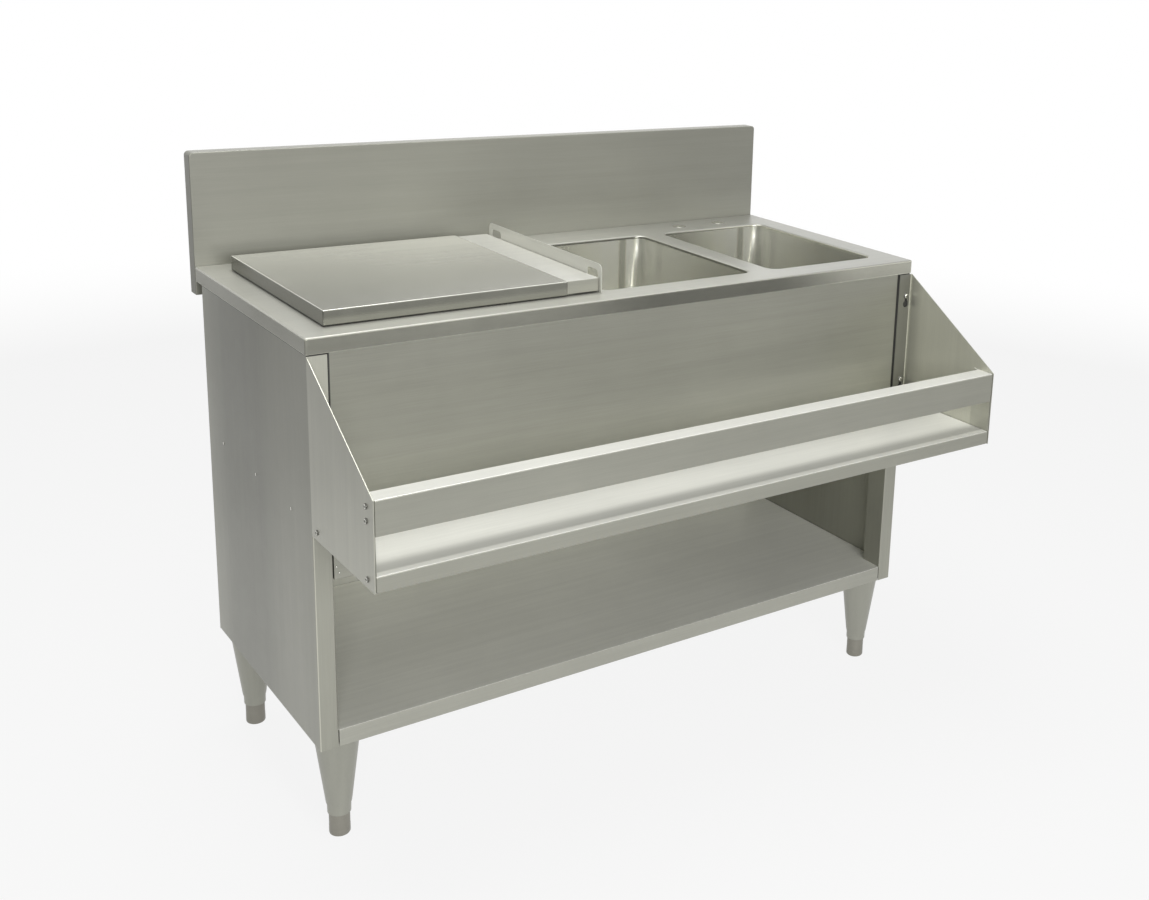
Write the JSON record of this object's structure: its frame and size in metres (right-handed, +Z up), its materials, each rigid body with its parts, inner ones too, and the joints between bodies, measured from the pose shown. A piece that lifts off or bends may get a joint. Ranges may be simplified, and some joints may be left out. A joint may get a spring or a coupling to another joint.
{
  "type": "bar sink with ice bin",
  "caption": "Free-standing stainless bar sink with an insulated ice bin under lift-off covers, two bowls, undershelf, speed rail and adjustable feet.",
  "frame": {"origin": "on the floor, under the middle of the bounding box", "axes": "+X to the right along the worktop, +Y from the speed rail to the backsplash, +Z up"},
  "size_m": [1.224, 0.803, 1.064],
  "materials": {
    "brushed_steel": "brushed, long grain",
    "bright_steel": "turned or pressed, bright",
    "foot_steel": "dull turned steel",
    "foam": "rigid insulating foam"
  },
  "bodies": {
    "cabinet": {"apron": "brushed_steel", "backsplash": "brushed_steel", "bin_curb": "brushed_steel", "bin_drain": "bright_steel", "bin_drain_nut": "bright_steel", "bin_insulation": "foam", "bin_jacket": "brushed_steel", "bin_liner": "brushed_steel", "bowl_left": "brushed_steel", "bowl_right": "brushed_steel", "drain_cup_left": "bright_steel", "drain_cup_right": "bright_steel", "drain_locknut_left": "bright_steel", "drain_locknut_right": "bright_steel", "leg_channel_left": "brushed_steel", "leg_channel_right": "brushed_steel", "leg_front_left": "brushed_steel", "leg_front_right": "brushed_steel", "leg_nut_front_left": "bright_steel", "leg_nut_front_right": "bright_steel", "leg_nut_rear_left": "bright_steel", "leg_nut_rear_right": "bright_steel", "leg_rear_left": "brushed_steel", "leg_rear_right": "brushed_steel", "rail_hanger_lower_left": "bright_steel", "rail_hanger_lower_right": "bright_steel", "rail_hanger_upper_left": "bright_steel", "rail_hanger_upper_right": "bright_steel", "rear_panel": "brushed_steel", "shelf": "brushed_steel", "side_panel_left": "brushed_steel", "side_panel_right": "brushed_steel", "tailpiece_left": "bright_steel", "tailpiece_right": "bright_steel", "tap_hole_cap_left": "bright_steel", "tap_hole_cap_right": "bright_steel", "worktop": "brushed_steel"},
    "lid": {"bin_lid": "brushed_steel"},
    "strip": {"cover_strip": "brushed_steel"},
    "splash": {"splash_plate": "brushed_steel"},
    "bin_grid": {"bin_false_bottom": "brushed_steel"},
    "strainer_left": {"basket_strainer_left": "bright_steel"},
    "strainer_right": {"basket_strainer_right": "bright_steel"},
    "speed_rail": {"rail_plate_left": "brushed_steel", "rail_plate_right": "brushed_steel", "rail_band": "brushed_steel", "rail_tray": "brushed_steel", "screw_band_lower_left": "bright_steel", "screw_band_lower_right": "bright_steel", "screw_band_upper_left": "bright_steel", "screw_band_upper_right": "bright_steel", "screw_tray_front_left": "bright_steel", "screw_tray_front_right": "bright_steel", "screw_tray_rear_left": "bright_steel", "screw_tray_rear_right": "bright_steel"},
    "foot_front_left_body": {"foot_front_left": "foot_steel"},
    "foot_front_right_body": {"foot_front_right": "foot_steel"},
    "foot_rear_left_body": {"foot_rear_left": "foot_steel"},
    "foot_rear_right_body": {"foot_rear_right": "foot_steel"}
  },
  "joints": [
    {"name": "lid_lift", "type": "slide", "parent": "cabinet", "child": "lid", "axis": [0, 0, 1], "range_m": [0, 0.15]},
    {"name": "strip_lift", "type": "slide", "parent": "cabinet", "child": "strip", "axis": [0, 0, 1], "range_m": [0, 0.15]},
    {"name": "splash_plate_lift", "type": "slide", "parent": "cabinet", "child": "splash", "axis": [0, 0, 1], "range_m": [0, 0.1]},
    {"name": "false_bottom_lift", "type": "slide", "parent": "cabinet", "child": "bin_grid", "axis": [0, 0, 1], "range_m": [0, 0.26]},
    {"name": "strainer_left_lift", "type": "slide", "parent": "cabinet", "child": "strainer_left", "axis": [0, 0, 1], "range_m": [0, 0.25]},
    {"name": "strainer_right_lift", "type": "slide", "parent": "cabinet", "child": "strainer_right", "axis": [0, 0, 1], "range_m": [0, 0.25]},
    {"name": "speed_rail_lift", "type": "slide", "parent": "cabinet", "child": "speed_rail", "axis": [0, 0, 1], "range_m": [0, 0.0164]},
    {"name": "foot_front_left_screw", "type": "slide", "parent": "cabinet", "child": "foot_front_left_body", "axis": [0, 0, -1], "range_m": [-0.03, 0.02]},
    {"name": "foot_front_right_screw", "type": "slide", "parent": "cabinet", "child": "foot_front_right_body", "axis": [0, 0, -1], "range_m": [-0.03, 0.02]},
    {"name": "foot_rear_left_screw", "type": "slide", "parent": "cabinet", "child": "foot_rear_left_body", "axis": [0, 0, -1], "range_m": [-0.03, 0.02]},
    {"name": "foot_rear_right_screw", "type": "slide", "parent": "cabinet", "child": "foot_rear_right_body", "axis": [0, 0, -1], "range_m": [-0.03, 0.02]}
  ]
}
